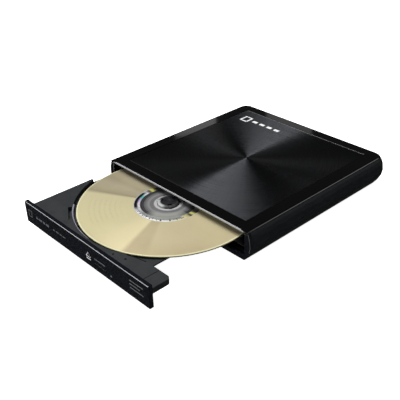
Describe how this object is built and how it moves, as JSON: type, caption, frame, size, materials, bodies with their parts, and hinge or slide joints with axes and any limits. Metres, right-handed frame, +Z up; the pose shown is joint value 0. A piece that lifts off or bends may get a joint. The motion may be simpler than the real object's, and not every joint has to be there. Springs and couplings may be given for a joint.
{
  "type": "external optical drive",
  "caption": "Slim external disc drive: black case with brushed lid panel, half-open tray on telescopic rails, gold disc on a clamping spindle, eject button and pickup inside.",
  "frame": {"origin": "on the support surface, under the middle of the object's box with the tray as stored", "axes": "+Z up, -Y the way the tray comes out, +X to the right seen from the front"},
  "size_m": [0.1388, 0.2152, 0.0224],
  "materials": {
    "shell_satin": "satin moulded ABS",
    "cover_gloss": "high gloss black plastic",
    "panel_brushed": "black anodised, circular brushed",
    "bezel_gloss": "high gloss black plastic",
    "rubber_black": "matte",
    "screw_steel": "black zinc plated",
    "sheet_steel": "pressed sheet",
    "guide_plastic": "natural acetal",
    "board_green": "solder mask",
    "chip_black": "matte",
    "cable_film": "polyester film",
    "socket_black": "matte",
    "port_steel": "bright plated",
    "tray_matte": "fine matte",
    "lens_clear": "clear",
    "motor_steel": "plated",
    "turntable_grey": "satin",
    "disc_gold": "pale gold printed disc",
    "sled_black": "matte",
    "lens_glass": "clear moulded lens",
    "lever_white": "acetal",
    "coil_copper": "enamelled copper winding"
  },
  "bodies": {
    "case": {"bottom_shell": "shell_satin", "top_cover": "cover_gloss", "top_panel": "panel_brushed", "front_frame": "bezel_gloss", "foot_1": "rubber_black", "foot_2": "rubber_black", "foot_3": "rubber_black", "foot_4": "rubber_black", "case_screw_1": "screw_steel", "case_screw_2": "screw_steel", "drive_screw_1": "screw_steel", "drive_screw_2": "screw_steel", "drive_screw_3": "screw_steel", "drive_screw_4": "screw_steel", "drive_pan": "sheet_steel", "drive_lid": "sheet_steel", "left_guide": "guide_plastic", "right_guide": "guide_plastic", "main_board": "board_green", "main_chip": "chip_black", "flat_cable": "cable_film", "latch_pin": "screw_steel", "drive_connector": "socket_black", "bridge_board": "board_green", "bridge_chip": "chip_black", "usb_port": "port_steel", "dc_jack": "socket_black", "capacitor": "port_steel"},
    "left_rail": {"left_slide_rail": "port_steel"},
    "right_rail": {"right_slide_rail": "port_steel"},
    "tray": {"tray_frame": "tray_matte", "tray_bezel": "bezel_gloss", "tray_bottom_cover": "sheet_steel", "led_window": "lens_clear", "traverse_plate": "sheet_steel", "spindle_motor": "motor_steel", "guide_rod_1": "port_steel", "guide_rod_2": "port_steel", "sled_motor": "motor_steel", "tray_board": "board_green", "eject_switch": "chip_black", "damper_1": "rubber_black", "damper_2": "rubber_black", "damper_3": "rubber_black", "latch_solenoid": "coil_copper", "latch_pivot": "screw_steel"},
    "button": {"eject_button": "bezel_gloss"},
    "spindle": {"turntable": "turntable_grey", "disc": "disc_gold"},
    "claw_1": {"clamp_claw_1": "turntable_grey"},
    "claw_2": {"clamp_claw_2": "turntable_grey"},
    "claw_3": {"clamp_claw_3": "turntable_grey"},
    "sled": {"pickup_sled": "sled_black"},
    "lens": {"objective_lens": "lens_glass"},
    "screw": {"lead_screw": "port_steel"},
    "latch": {"latch_lever": "lever_white"}
  },
  "joints": [
    {"name": "tray_slide", "type": "slide", "parent": "case", "child": "tray", "axis": [0, -1, 0], "range_m": [-0.0728, 0.0572]},
    {"name": "left_rail_slide", "type": "slide", "parent": "case", "child": "left_rail", "axis": [0, -1, 0], "range_m": [-0.0364, 0.0286]},
    {"name": "right_rail_slide", "type": "slide", "parent": "case", "child": "right_rail", "axis": [0, -1, 0], "range_m": [-0.0364, 0.0286]},
    {"name": "eject_press", "type": "slide", "parent": "tray", "child": "button", "axis": [0, 1, 0], "range_m": [0, 0.0008], "stiffness_N_per_m": 800},
    {"name": "disc_spin", "type": "hinge", "parent": "tray", "child": "spindle", "pos_m": [0, -0.0385, 0.0109], "axis": [0, 0, 1], "continuous": true},
    {"name": "claw_1_retract", "type": "slide", "parent": "spindle", "child": "claw_1", "axis": [0, -1, 0], "range_m": [0, 0.0008], "stiffness_N_per_m": 400},
    {"name": "claw_2_retract", "type": "slide", "parent": "spindle", "child": "claw_2", "axis": [0.866, 0.5, 0], "range_m": [0, 0.0008], "stiffness_N_per_m": 400},
    {"name": "claw_3_retract", "type": "slide", "parent": "spindle", "child": "claw_3", "axis": [-0.866, 0.5, 0], "range_m": [0, 0.0008], "stiffness_N_per_m": 400},
    {"name": "sled_slide", "type": "slide", "parent": "tray", "child": "sled", "axis": [-0.5402, -0.8415, 0], "range_m": [0, 0.033]},
    {"name": "lens_focus", "type": "slide", "parent": "sled", "child": "lens", "axis": [0, 0, 1], "range_m": [-0.00025, 0.0004], "stiffness_N_per_m": 60},
    {"name": "lead_screw_turn", "type": "hinge", "parent": "tray", "child": "screw", "pos_m": [-0.01852, -0.03125, 0.0113], "axis": [-0.5402, -0.8415, 0], "range_deg": [-5, 3965]},
    {"name": "latch_swing", "type": "hinge", "parent": "tray", "child": "latch", "pos_m": [0.0336, -0.0797, 0.0111], "axis": [0, 0, -1], "range_deg": [0, 13], "stiffness_Nm_per_rad": 0.02}
  ],
  "couplings": [
    {"joint": "left_rail_slide", "follows": "tray_slide", "ratio": 0.5},
    {"joint": "right_rail_slide", "follows": "tray_slide", "ratio": 0.5},
    {"joint": "lead_screw_turn", "follows": "sled_slide", "rad_per_m": 2094.4}
  ]
}
